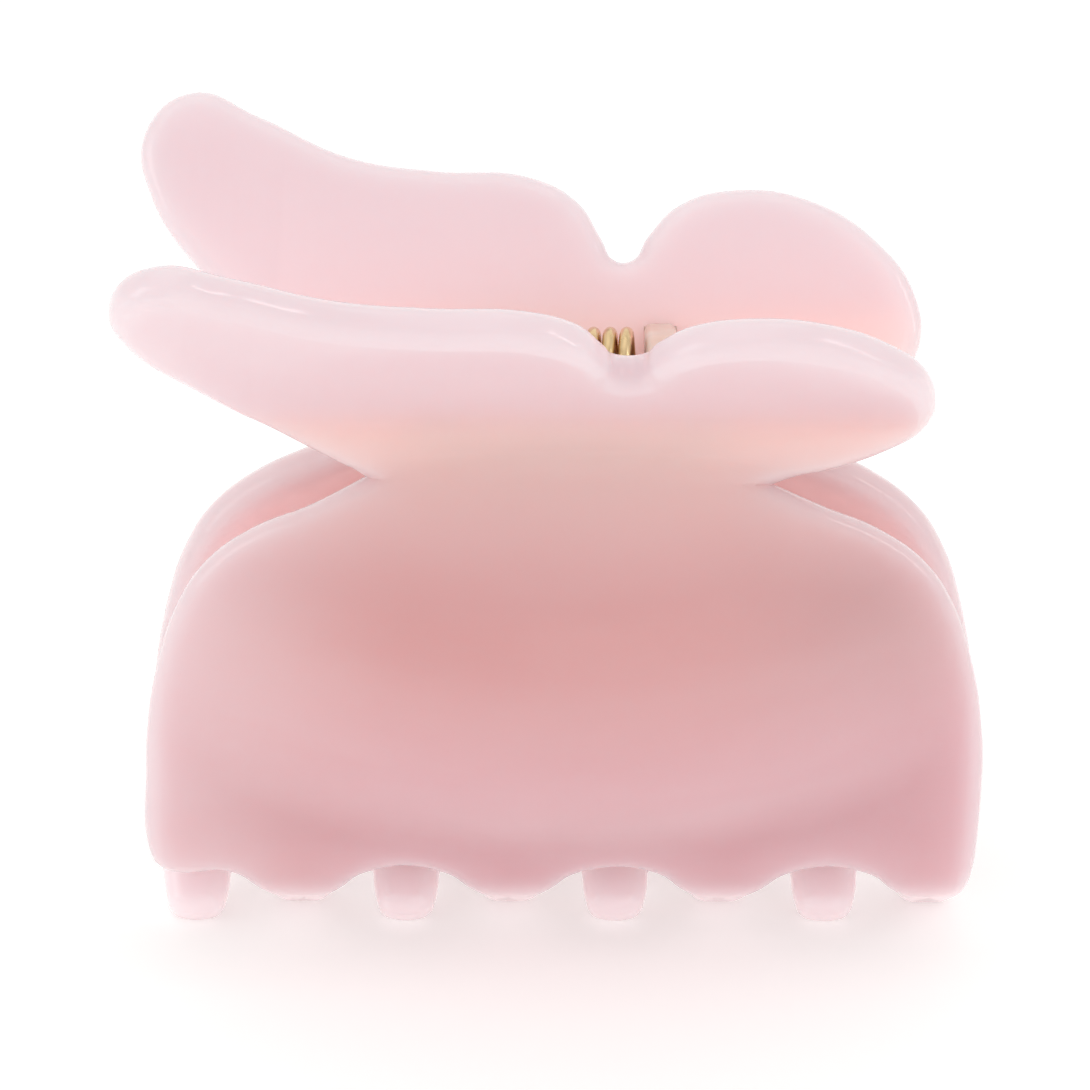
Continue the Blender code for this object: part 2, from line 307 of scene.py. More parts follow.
def cloud_node(
    tree: bpy.types.NodeTree, scale: Value, detail: float = 2.0, stretch: Color | None = None
) -> bpy.types.Node:
    """Adds a Noise Texture in the object's own coordinates.

    Args:
        tree: the tree that it goes in.
        scale: the noise's scale.
        detail: its octaves.
        stretch: how much finer it is along x, y and z, or None.

    Returns:
        The noise node, whose value is its output Fac.
    """
    place = tree.nodes.new("ShaderNodeTexCoord").outputs["Object"]
    if stretch:
        mapping = tree.nodes.new("ShaderNodeMapping")
        mapping.inputs["Scale"].default_value = stretch
        link(tree, place, mapping.inputs["Vector"])
        place = mapping.outputs["Vector"]
    node = tree.nodes.new("ShaderNodeTexNoise")
    node.inputs["Detail"].default_value = detail
    feed(tree, scale, node.inputs["Scale"])
    link(tree, place, node.inputs["Vector"])
    return node


def polish_group() -> bpy.types.NodeTree:
    """Builds the shared effect of a hand-polished surface.

    Returns:
        A group with inputs Scale and Amount, which puts out Haze, the share by which the
        roughness grows, and Height, the shallow unevenness that polishing leaves.
    """
    name, fine_ratio, fine_share = "hand_polish", 11.0, 0.12
    if name in bpy.data.node_groups:
        return bpy.data.node_groups[name]
    group = bpy.data.node_groups.new(name, "ShaderNodeTree")
    for label, value in (("Scale", 60.0), ("Amount", 1.0)):
        socket = group.interface.new_socket(label, in_out="INPUT", socket_type="NodeSocketFloat")
        socket.default_value = value
    for label in ("Haze", "Height"):
        group.interface.new_socket(label, in_out="OUTPUT", socket_type="NodeSocketFloat")
    entry = group.nodes.new("NodeGroupInput")
    result = group.nodes.new("NodeGroupOutput")
    cloud = cloud_node(group, entry.outputs["Scale"], 3.0)
    fine = cloud_node(group, product(group, entry.outputs["Scale"], fine_ratio))
    haze = ramp_node(group, cloud.outputs["Fac"], 0.42, 0.68)
    link(group, product(group, haze, entry.outputs["Amount"]), result.inputs["Haze"])
    waves = product(group, fine.outputs["Fac"], fine_share)
    height = math_node(group, "ADD", waves, cloud.outputs["Fac"])
    link(group, product(group, height, entry.outputs["Amount"]), result.inputs["Height"])
    return group


@dataclass(frozen=True)
class Polish:
    """How evenly a surface is polished."""

    scale: float
    roughness: float
    haze: float
    bump_depth: float
    bump_strength: float = 0.25

    def dress(self, tree: bpy.types.NodeTree, shader: bpy.types.Node) -> None:
        """Drives a shader's roughness and normal from the polish group.

        Args:
            tree: the material's tree.
            shader: the Principled shader.
        """
        group = tree.nodes.new("ShaderNodeGroup")
        group.node_tree = polish_group()
        group.inputs["Scale"].default_value = self.scale
        rough = product(tree, group.outputs["Haze"], self.haze)
        link(tree, math_node(tree, "ADD", rough, self.roughness), shader.inputs["Roughness"])
        bump = tree.nodes.new("ShaderNodeBump")
        bump.inputs["Strength"].default_value = self.bump_strength
        bump.inputs["Distance"].default_value = self.bump_depth
        link(tree, group.outputs["Height"], bump.inputs["Height"])
        link(tree, bump.outputs["Normal"], shader.inputs["Normal"])


def blank_material(name: str) -> tuple[bpy.types.Material, bpy.types.NodeTree, bpy.types.Node]:
    """Makes a material with nothing set yet.

    Args:
        name: the material's name.

    Returns:
        The material, its tree and its Principled shader.
    """
    material = bpy.data.materials.new(name)
    material.use_nodes = True
    tree = material.node_tree
    return material, tree, tree.nodes["Principled BSDF"]


@dataclass(frozen=True)
class Fade:
    """A smooth change along the blank, between two places in millimetres."""

    start: float
    end: float
    low: float = 0.0
    high: float = 1.0


@dataclass(frozen=True)
class AcetateFinish:
    """Milky pink cellulose acetate: pale in the wings, and rosier in the body, where two layers
    stand behind each other, darkened with painted shade from its cavity. Painted light keeps
    the body's left side and right edge paler, painted shade darkens its right side, a painted
    warm tint lies round the neck for the shade in its crook and the light coming through it,
    and painted highlights whiten its rounded edges and the teeth's tips. Where light comes
    through the sheet, on its inner face and in the teeth's ends, it glows a little."""

    name: str = "pink_acetate"
    thin: Color = (0.795, 0.648, 0.680)
    # the body's rose where two layers stand behind each other, darkened by painted shade from the cavity
    deep: Color = (0.700, 0.380, 0.375)
    # painted warm tint round the neck, for the shade in its crook and the light coming through it
    warm: Color = (0.935, 0.650, 0.610)
    mauve: Color = (0.690, 0.412, 0.449)
    # painted shade on the body's right side
    right_shade: Color = (0.600, 0.385, 0.395)
    # pearl colour, also used for the painted highlight on the rounded edges and the teeth's tips
    edge: Color = (0.760, 0.628, 0.663)
    lit: Color = (0.790, 0.630, 0.610)
    body_fade: Fade = Fade(22.0, -14.0)
    # painted light: the body is paler on its left side and at its right edge
    left_light_fade: Fade = Fade(-38.5, -12.0, 0.30, 1.0)
    right_light_fade: Fade = Fade(39.0, 27.0, 0.70, 1.0)
    # where the painted shade on the body's right side lies
    right_shade_fade: Fade = Fade(8.0, 30.0, 0.0, 0.7)
    low_fade: Fade = Fade(-9.0, -27.0, 0.0, 0.9)
    # where the painted warm tint round the neck lies
    neck_rise: Fade = Fade(-9.0, 4.0)
    neck_fall: Fade = Fade(14.0, 6.0)
    # painted highlight on the teeth's tips
    tip_sheen_fade: Fade = Fade(-39.0, -45.0, 0.0, 0.9)
    neck_shade_share: float = 0.78
    # strength of the painted highlight along the rim
    edge_sheen_share: float = 0.62
    pearl_share: float = 0.09
    pearl_scale: float = 1.6
    pearl_detail: float = 4.0
    pearl_stretch: Color = (14.0, 14.0, 46.0)
    glow: float = 0.37
    depth_of_light: float = 8.0 * MM
    coat: float = 0.4
    polish: Polish = Polish(scale=70.0, roughness=0.17, haze=0.08, bump_depth=0.00003)

    def pearl(self, tree: bpy.types.NodeTree) -> bpy.types.NodeSocket:
        """The slow cloudy bands of the sheet.

        Args:
            tree: the material's tree.

        Returns:
            The bands' socket, from 0 to 1.
        """
        cloud = cloud_node(tree, self.pearl_scale, self.pearl_detail, self.pearl_stretch)
        cloud.inputs["Roughness"].default_value = 0.45
        cloud.inputs["Distortion"].default_value = 0.8
        return ramp_node(tree, cloud.outputs["Fac"], 0.35, 0.68)

    def tone(self, tree: bpy.types.NodeTree) -> bpy.types.NodeSocket:
        """The colour over a claw, from its place on the blank, with its painted light and shade.

        Args:
            tree: the material's tree.

        Returns:
            The colour's socket.
        """
        place = tree.nodes.new("ShaderNodeUVMap")
        place.uv_map = BLANK_MAP
        parts = tree.nodes.new("ShaderNodeSeparateXYZ")
        link(tree, place.outputs["UV"], parts.inputs["Vector"])

        def across(fade: Fade) -> bpy.types.NodeSocket:
            """A fade along the hinge pin."""
            start, end = BLANK.across_share(fade.start), BLANK.across_share(fade.end)
            return ramp_node(tree, parts.outputs["X"], start, end, fade.low, fade.high)

        def up(fade: Fade) -> bpy.types.NodeSocket:
            """A fade up the sheet."""
            start, end = BLANK.up_share(fade.start), BLANK.up_share(fade.end)
            return ramp_node(tree, parts.outputs["Y"], start, end, fade.low, fade.high)

        # rose body darkened by painted shade from the cavity; painted light keeps its left side and right
        # edge paler
        body, left = up(self.body_fade), across(self.left_light_fade)
        depth = product(tree, body, left, across(self.right_light_fade))
        colour = mix_node(tree, depth, self.thin, self.deep)
        # painted shade on the body's right side
        colour = mix_node(tree, product(tree, across(self.right_shade_fade), body), colour, self.right_shade)
        colour = mix_node(tree, product(tree, up(self.low_fade), left), colour, self.mauve)
        # painted warm tint round the neck, for the shade in its crook and the light coming through it
        neck = product(tree, up(self.neck_rise), up(self.neck_fall), self.neck_shade_share)
        colour = mix_node(tree, neck, colour, self.warm)
        # painted highlight on the teeth's tips
        return mix_node(tree, up(self.tip_sheen_fade), colour, self.edge)

    def make(self) -> bpy.types.Material:
        """Builds the material.

        Returns:
            The material for the claws.
        """
        material, tree, shader = blank_material(self.name)
        masks = []
        for label in (EDGE_SHEEN_MASK, LIT_MASK):
            node = tree.nodes.new("ShaderNodeAttribute")
            node.attribute_name = label
            masks.append(node.outputs["Fac"])
        rim, lit = masks
        # painted highlight along the rounded rim
        colour = mix_node(tree, product(tree, rim, self.edge_sheen_share), self.tone(tree), self.edge)
        cloud = product(tree, self.pearl(tree), self.pearl_share)
        link(tree, mix_node(tree, cloud, colour, self.edge), shader.inputs["Base Color"])
        link(tree, mix_node(tree, lit, (0.0, 0.0, 0.0), self.lit), shader.inputs["Emission Color"])
        self.polish.dress(tree, shader)
        shader.inputs["Emission Strength"].default_value = self.glow
        shader.inputs["Subsurface Weight"].default_value = 1.0
        shader.inputs["Subsurface Radius"].default_value = (1.0, 0.8, 0.78)
        shader.inputs["Subsurface Scale"].default_value = self.depth_of_light
        shader.inputs["IOR"].default_value = ACETATE_IOR
        shader.inputs["Coat Weight"].default_value = self.coat
        shader.inputs["Coat Roughness"].default_value = 0.10
        return material


@dataclass(frozen=True)
class LugFinish:
    """The plain acetate of the hinge lugs, warm where the light comes through the neck."""

    name: str = "lug_acetate"
    colour: Color = (0.830, 0.560, 0.470)
    pale: Color = (0.870, 0.665, 0.585)
    cloud_scale: float = 220.0
    depth_of_light: float = 1.5 * MM
    polish: Polish = Polish(scale=160.0, roughness=0.20, haze=0.08, bump_depth=0.00002)

    def make(self) -> bpy.types.Material:
        """Builds the material.

        Returns:
            The material for the lugs.
        """
        material, tree, shader = blank_material(self.name)
        share = ramp_node(tree, cloud_node(tree, self.cloud_scale).outputs["Fac"], 0.3, 0.7)
        link(tree, mix_node(tree, share, self.colour, self.pale), shader.inputs["Base Color"])
        self.polish.dress(tree, shader)
        shader.inputs["Subsurface Weight"].default_value = 0.3
        shader.inputs["Subsurface Radius"].default_value = (1.0, 0.45, 0.4)
        shader.inputs["Subsurface Scale"].default_value = self.depth_of_light
        shader.inputs["IOR"].default_value = ACETATE_IOR
        return material


@dataclass(frozen=True)
class GoldFinish:
    """Gold plating, mostly bright, with duller patches."""

    name: str = "gold_plate"
    bright: Color = (0.76, 0.56, 0.31)
    dull: Color = (0.50, 0.34, 0.17)
    cloud_scale: float = 500.0
    cloud_detail: float = 4.0
    polish: Polish = Polish(scale=300.0, roughness=0.20, haze=0.14, bump_depth=0.00001)

    def make(self) -> bpy.types.Material:
        """Builds the material.

        Returns:
            The material for the pin, its cap and the spring.
        """
        material, tree, shader = blank_material(self.name)
        cloud = cloud_node(tree, self.cloud_scale, self.cloud_detail)
        share = ramp_node(tree, cloud.outputs["Fac"], 0.45, 0.75)
        link(tree, mix_node(tree, share, self.bright, self.dull), shader.inputs["Base Color"])
        self.polish.dress(tree, shader)
        shader.inputs["Metallic"].default_value = 1.0
        return material


# -------------------------------------------------------------------- the bent sheet


@dataclass(frozen=True)
class BentSheet:
    """The side profile that both claws are bent to, and their pressed belly."""

    thickness: float = 4.0 * MM
    rim_offset: float = 4.6 * MM
    rim_height: float = 36.5 * MM
    neck_radius: float = 15.6 * MM
    wing_lean: float = math.radians(38.3)
    curl_radius: float = 8.0 * MM
    curl_angle: float = math.radians(53.0)
    foot_flat: float = 0.35 * MM
    foot_round: float = 1.4 * MM
    tooth_end: float = 49.7 * MM
    belly_depth: float = 12.0 * MM
    belly_half_width: float = 38.5 * MM
    belly_above_neck: float = 4.0 * MM
    belly_below_rim: float = 1.5 * MM
    across_power: float = 2.2
    along_power: float = 2.0
    fullness: float = 1.6
    eased_share: float = 0.5

    @property
    def neck_length(self) -> float:
        """The length of sheet in the neck's bend."""
        return self.neck_radius * self.wing_lean

    @property
    def curl_length(self) -> float:
        """The length of sheet in the curl above the teeth."""
        return self.curl_radius * self.curl_angle

    @property
    def neck_z(self) -> float:
        """The place of the neck's start.

        Returns:
            Its height above the surface that the teeth stand on.
        """
        slope_sin, slope_cos = math.sin(self.curl_angle), math.cos(self.curl_angle)
        straight = self.tooth_end - self.rim_height - self.curl_length - self.foot_round
        drop = self.rim_height + self.curl_radius * slope_sin + straight * slope_cos
        drop += (self.thickness / 2 - self.foot_round) * slope_sin + self.foot_round
        return drop - self.foot_flat

    def profile(self, s: float) -> tuple[float, float, float]:
        """Follows the side profile.

        Args:
            s: length up the sheet from the neck's start.

        Returns:
            The offset from the middle plane, the height and the outward lean there.
        """
        if s >= 0:
            turned = min(s / self.neck_radius, self.wing_lean)
            straight = s - self.neck_radius * turned
            out = self.rim_offset + self.neck_radius * (1 - math.cos(turned))
            height = self.neck_z + self.neck_radius * math.sin(turned)
            return out + straight * math.sin(turned), height + straight * math.cos(turned), turned
        below = max(-s - self.rim_height, 0.0)
        turned = min(below / self.curl_radius, self.curl_angle)
        straight = below - self.curl_radius * turned
        out = self.rim_offset - self.curl_radius * (1 - math.cos(turned))
        height = self.neck_z + max(s, -self.rim_height) - self.curl_radius * math.sin(turned)
        return out - straight * math.sin(turned), height - straight * math.cos(turned), turned

    def belly(self, x: float, s: float) -> float:
        """Follows the pressed belly.

        Args:
            x: along the hinge pin.
            s: up the sheet from the neck's start.

        Returns:
            How far the press pushes the sheet out there.
        """
        half_height = (self.rim_height + self.belly_above_neck + self.belly_below_rim) / 2
        middle = self.belly_above_neck - half_height
        across = abs(x) / self.belly_half_width
        along = abs(s - middle) / half_height
        share = 1 - across**self.across_power - along**self.along_power
        if share > self.eased_share:
            return self.belly_depth * share**self.fullness
        # Near its oval the belly starts as a parabola, so that the sheet doesn't fold there.
        start = self.eased_share * (1 - 2 / self.fullness)
        bend = self.fullness**2 / 4 * self.eased_share ** (self.fullness - 2)
        return self.belly_depth * bend * max(share - start, 0.0) ** 2

    def bent(self, x: float, s: float, w: float) -> Vector:
        """Bends one point of the blank, for the back claw.

        Args:
            x: along the hinge pin.
            s: up the sheet from the neck's start.
            w: inwards from the middle of the sheet.

        Returns:
            The point's place on the finished claw.
        """
        out, height, lean = self.profile(s)
        step = 0.2 * MM
        rise_x = (self.belly(x + step, s) - self.belly(x - step, s)) / (2 * step)
        rise_s = (self.belly(x, s + step) - self.belly(x, s - step)) / (2 * step)
        along_x = Vector((1.0, rise_x, 0.0))
        along_s = Vector((0.0, math.sin(lean) + rise_s, math.cos(lean)))
        normal = along_s.cross(along_x).normalized()
        return Vector((x, out + self.belly(x, s), height)) - w * normal


@dataclass(frozen=True)
class Blank:
    """The flat outline that a claw is cut to. Its wing is read from the left corner of
    the neck round to the right one, in millimetres; the last value marks a corner. Its
    shoulder is read from the neck's corner down, as shares of the way out to the widest
    level and of the way down to it. The map values are the corner and the size, in
    millimetres, of the patch that the blank's map covers."""

    wing: tuple[BlankPoint, ...] = (
        (-17.9, 0.8, True),
        (-25.2, 6.4, False),
        (-33.0, 15.0, False),
        (-37.9, 22.2, False),
        (-38.7, 28.4, False),
        (-34.4, 32.3, False),
        (-28.4, 30.1, False),
        (-20.0, 26.2, False),
        (-12.0, 24.9, False),
        (-3.6, 24.4, False),
        (1.0, 22.0, False),
        (3.2, 18.5, False),
        (4.4, 16.5, False),
        (6.0, 16.5, False),
        (7.4, 18.7, False),
        (10.3, 21.7, False),
        (15.6, 23.2, False),
        (22.3, 22.2, False),
        (28.2, 18.5, False),
        (31.9, 13.0, False),
        (31.9, 8.0, False),
        (28.6, 4.4, False),
        (18.4, 0.2, True),
    )
    shoulder: tuple[tuple[float, float], ...] = (
        (0.22, 0.06),
        (0.49, 0.145),
        (0.69, 0.252),
        (0.82, 0.39),
        (0.91, 0.57),
        (0.98, 0.80),
    )
    half_width: float = 38.7 * MM
    neck_half_width: float = 18.2 * MM
    shoulder_level: float = 30.0 * MM
    valley: float = -40.2 * MM
    corner_radius: float = 2.8 * MM
    tooth_count: int = 4
    tooth_side_inset: float = 4.05 * MM
    tooth_length: float = 9.5 * MM
    tooth_half_root: float = 6.3 * MM
    tooth_half_neck: float = 3.4 * MM
    tooth_half_tip: float = 2.8 * MM
    root_fillet: float = 3.2 * MM
    fillet_bulge: float = 0.9 * MM
    fillet_run: float = 0.7 * MM
    tip_radius: float = 1.9 * MM
    map_left: float = -40.0
    map_foot: float = -51.0
    map_width: float = 80.0
    map_height: float = 85.0

    def across_share(self, x_mm: float) -> float:
        """Where x lies across the blank's map, from 0 to 1."""
        return (x_mm - self.map_left) / self.map_width

    def up_share(self, s_mm: float) -> float:
        """Where s lies up the blank's map, from 0 to 1."""
        return (s_mm - self.map_foot) / self.map_height

    def shoulder_points(self, hand: Hand) -> Iterator[BlankPoint]:
        """Walks the body's shoulder from the neck's corner down to the widest level.

        Args:
            hand: which shoulder it is.

        Yields:
            The shoulder's points.
        """
        reach = self.half_width - self.neck_half_width
        for across, down in self.shoulder:
            yield hand.value * (self.neck_half_width + reach * across), -self.shoulder_level * down, False
        yield hand.value * self.half_width, -self.shoulder_level, False

    def tooth_points(self, x: float, at_side: bool) -> Iterator[BlankPoint]:
        """Walks one tooth from its left root to its right one.

        Args:
            x: the tooth's middle.
            at_side: whether the tooth's right flank runs up into the body's side.

        Yields:
            The tooth's points.
        """
        neck = self.valley - self.root_fillet
        tip = self.valley - self.tooth_length
        radius = self.tip_radius
        slant = math.sqrt(0.5) * radius
        yield x - self.tooth_half_root, self.valley, False
        yield x - self.tooth_half_neck - self.fillet_bulge, neck + self.fillet_bulge, False
        yield x - self.tooth_half_neck, neck - self.fillet_run, False
        for hand in (-1, 1):
            flank = [
                (x + hand * self.tooth_half_tip, tip + radius, False),
                (x + hand * (self.tooth_half_tip - radius + slant), tip + radius - slant, False),
                (x + hand * (self.tooth_half_tip - radius), tip, False),
            ]
            yield from flank if hand < 0 else reversed(flank)
        if at_side:
            return
        yield x + self.tooth_half_neck, neck - self.fillet_run, False
        yield x + self.tooth_half_neck + self.fillet_bulge, neck + self.fillet_bulge, False
        yield x + self.tooth_half_root, self.valley, False

    def comb_points(self) -> Iterator[BlankPoint]:
        """Walks the bottom edge from the toothless corner on the left to the last tooth.

        Yields:
            The edge's points.
        """
        left, radius = -self.half_width, self.corner_radius
        slant = math.sqrt(0.5) * radius
        yield left, self.valley + radius, False
        yield left + radius - slant, self.valley + radius - slant, False
        yield left + radius, self.valley, False
        last = (self.tooth_count - 1) / 2 + 0.25
        pitch = (self.half_width - self.tooth_side_inset) / last
        for i in range(self.tooth_count):
            place = last - (self.tooth_count - 1 - i)
            yield from self.tooth_points(place * pitch, i == self.tooth_count - 1)

    def outline(self, tooth_side: Hand) -> list[BlankPoint]:
        """Walks the whole blank anticlockwise.

        Args:
            tooth_side: the side whose bottom corner is a tooth.

        Returns:
            The outline's points in metres.
        """
        comb = list(self.comb_points())
        if tooth_side is Hand.LEFT:
            comb = [(-x, s, corner) for x, s, corner in reversed(comb)]
        wing = [(x * MM, s * MM, corner) for x, s, corner in reversed(self.wing)]
        left = list(self.shoulder_points(Hand.LEFT))
        right = list(reversed(list(self.shoulder_points(Hand.RIGHT))))
        return wing + left + comb + right


SHEET = BentSheet()
BLANK = Blank()


@dataclass
class Claw:
    """One claw: body, comb and butterfly wing in one bent piece of sheet."""

    side: Side
    tooth_side: Hand
    crease_degrees: float = 60.0
    flat_degrees: float = 0.5
    edge_round: float = 1.6 * MM
    edge_steps: int = 5
    outline_steps: int = 10
    grid: float = 1.3 * MM
    neck_steps: int = 20
    curl_steps: int = 18
    # painted highlight along the rim: a narrow bright band and a wider, softer one
    sheen_reach: float = 2.6 * MM
    wide_sheen_reach: float = 7.0 * MM
    wide_sheen_share: float = 0.4
    lit_reach: float = 16.0 * MM
    lit_top: float = 9.0 * MM
    lit_start: float = 2.0 * MM
    crook_top: float = 24.0 * MM
    crook_reach: float = 12.0 * MM
    crook_share: float = 0.50
    tip_top: float = -40.5 * MM
    tip_reach: float = 4.0 * MM
    tip_share: float = 0.48

    @property
    def name(self) -> str:
        """The claw's CAD node."""
        return f"{self.side.word}_claw"

    def flat_curve(self) -> bpy.types.Object:
        """Draws the blank as a filled curve with rounded edges.

        Returns:
            The curve object, not linked.
        """
        curve = plate_curve(self.name, SHEET.thickness, self.edge_round, self.edge_steps)
        curve.resolution_u = self.outline_steps
        points = BLANK.outline(self.tooth_side)
        spline = curve.splines.new("BEZIER")
        spline.bezier_points.add(len(points) - 1)
        spline.use_cyclic_u = True
        for point, (x, s, corner) in zip(spline.bezier_points, points):
            point.co = (x, s, 0.0)
            kind = "VECTOR" if corner else "AUTO"
            point.handle_left_type = kind
            point.handle_right_type = kind
        return bpy.data.objects.new(self.name, curve)

    def slice(self, shape: bmesh.types.BMesh) -> None:
        """Cuts the flat blank into a fine grid, so that its bends come out round.

        Args:
            shape: the flat blank.
        """
        inner = [edge for edge in shape.edges if len(edge.link_faces) == 2]
        flat = math.radians(self.flat_degrees)
        bmesh.ops.dissolve_limit(shape, angle_limit=flat, verts=[], edges=inner)
        up = [SHEET.neck_length * i / self.neck_steps for i in range(self.neck_steps + 1)]
        for i in range(self.curl_steps + 1):
            up.append(-SHEET.rim_height - SHEET.curl_length * i / self.curl_steps)
        rows = round(SHEET.rim_height / self.grid)
        up += [-SHEET.rim_height * i / rows for i in range(1, rows)]
        columns = round(SHEET.belly_half_width / self.grid)
        across = [SHEET.belly_half_width * i / columns for i in range(-columns, columns + 1)]
        for axis, places in ((Vector((0, 1, 0)), up), (Vector((1, 0, 0)), across)):
            for place in places:
                bmesh.ops.bisect_plane(
                    shape, geom=whole(shape), dist=CUT_TOLERANCE, plane_co=axis * place, plane_no=axis
                )

    def light_through(self, s: float, w: float, distance: float) -> float:
        """How much light comes through the sheet at a point of the blank.

        Args:
            s: up the sheet from the neck's start.
            w: inwards from the middle of the sheet.
            distance: how far the point is from the outline.

        Returns:
            The share of the full glow: in the body's cavity, in the crook under the wing,
            both fading to nothing on the outer face, and in the teeth's ends.
        """
        above = clamped((s + SHEET.rim_height) / self.lit_reach)
        below = clamped((self.lit_top - s) / self.lit_reach)
        deep = clamped(1 - distance / self.lit_reach)
        crook = clamped((self.crook_top - s) / self.crook_reach) * clamped(1 + s / self.crook_reach)
        passed = max(above * below * deep * (2 - deep), self.crook_share * crook)
        inward = clamped(0.5 + w / SHEET.thickness)
        passed *= inward * min(distance / self.lit_start, 1.0)
        tip = clamped((self.tip_top - s) / self.tip_reach)
        return max(passed, self.tip_share * tip)

    def mark_blank(self, shape: bmesh.types.BMesh) -> None:
        """Writes each point's place on the blank, its painted highlight, which grows as the point
        nears the rim, and how much light comes through there.

        Args:
            shape: the sliced blank, still flat.
        """
        wall = SHEET.thickness / 2 - self.edge_round + 0.01 * MM
        outer = [vertex for vertex in shape.verts if abs(vertex.co.z) < wall]
        tree = KDTree(len(outer))
        for i, vertex in enumerate(outer):
            tree.insert((vertex.co.x, vertex.co.y, 0.0), i)
        tree.balance()
        rim = shape.verts.layers.float.new(EDGE_SHEEN_MASK)
        lit = shape.verts.layers.float.new(LIT_MASK)
        for vertex in shape.verts:
            x, s, w = vertex.co
            distance = tree.find((x, s, 0.0))[2]
            # painted highlight: strongest at the rounded rim, fading inwards
            near = eased(clamped(1 - distance / self.sheen_reach))
            wide = eased(clamped(1 - distance / self.wide_sheen_reach))
            vertex[rim] = (1 - self.wide_sheen_share) * near + self.wide_sheen_share * wide
            vertex[lit] = self.light_through(s, w, distance)
        uv = shape.loops.layers.uv.new(BLANK_MAP)
        for face in shape.faces:
            for loop in face.loops:
                x, s, _ = loop.vert.co
                loop[uv].uv = (BLANK.across_share(x / MM), BLANK.up_share(s / MM))

    def cut_feet(self, shape: bmesh.types.BMesh) -> None:
        """Levels the lowest part of each tooth, as the clip has flat feet.

        Args:
            shape: the bent claw.
        """
        down = Vector((0, 0, -1))
        bmesh.ops.bisect_plane(
            shape,
            geom=whole(shape),
            dist=CUT_TOLERANCE,
            plane_co=(0, 0, 0),
            plane_no=down,
            clear_outer=True,
        )
        open_edges = [edge for edge in shape.edges if len(edge.link_faces) == 1]
        bmesh.ops.holes_fill(shape, edges=open_edges, sides=0)

    def build(self, material: bpy.types.Material) -> bpy.types.Object:
        """Cuts, bends and dresses the claw.

        Args:
            material: the acetate.

        Returns:
            The finished claw, riding on its body.
        """
        shape = shape_of(self.flat_curve())
        self.slice(shape)
        self.mark_blank(shape)
        for vertex in shape.verts:
            place = SHEET.bent(*vertex.co)
            vertex.co = (place.x, self.side.value * place.y, place.z)
        self.cut_feet(shape)
        bmesh.ops.triangulate(shape, faces=shape.faces)
        bmesh.ops.recalc_face_normals(shape, faces=shape.faces)
        claw = finished_object(f"{self.name}_sheet", shape, self.crease_degrees)
        claw.data.materials.append(material)
        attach(claw, self.side.body)
        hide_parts(self.name)
        return claw


# ------------------------------------------------------------------------- the hinge


@dataclass(frozen=True)
class HingeSizes:
    """The sizes that the hinge's pieces share."""

    height: float
    pin_radius: float = 1.0 * MM
    clearance: float = 0.1 * MM
    head_radius: float = 1.9 * MM
    head_thickness: float = 0.9 * MM
    head_gap: float = 0.15 * MM
    cap_wall: float = 0.5 * MM
    barrel_radius: float = 3.2 * MM
    lug_width: float = 3.0 * MM
    lug_gap: float = 0.3 * MM
    lug_root_rise: float = 1.5 * MM
    coil_length: float = 13.4 * MM
    coil_gap: float = 0.3 * MM

    @property
    def inner_lug_x(self) -> float:
        """How far the inner lugs' middles are from the clip's middle."""
        return self.coil_length / 2 + self.coil_gap + self.lug_width / 2

    @property
    def outer_lug_x(self) -> float:
        """How far the outer lugs' middles are from the clip's middle."""
        return self.inner_lug_x + self.lug_width + self.lug_gap

    @property
    def pin_half(self) -> float:
        """Half the length of the pin between its heads."""
        return self.outer_lug_x + self.lug_width / 2 + self.head_gap


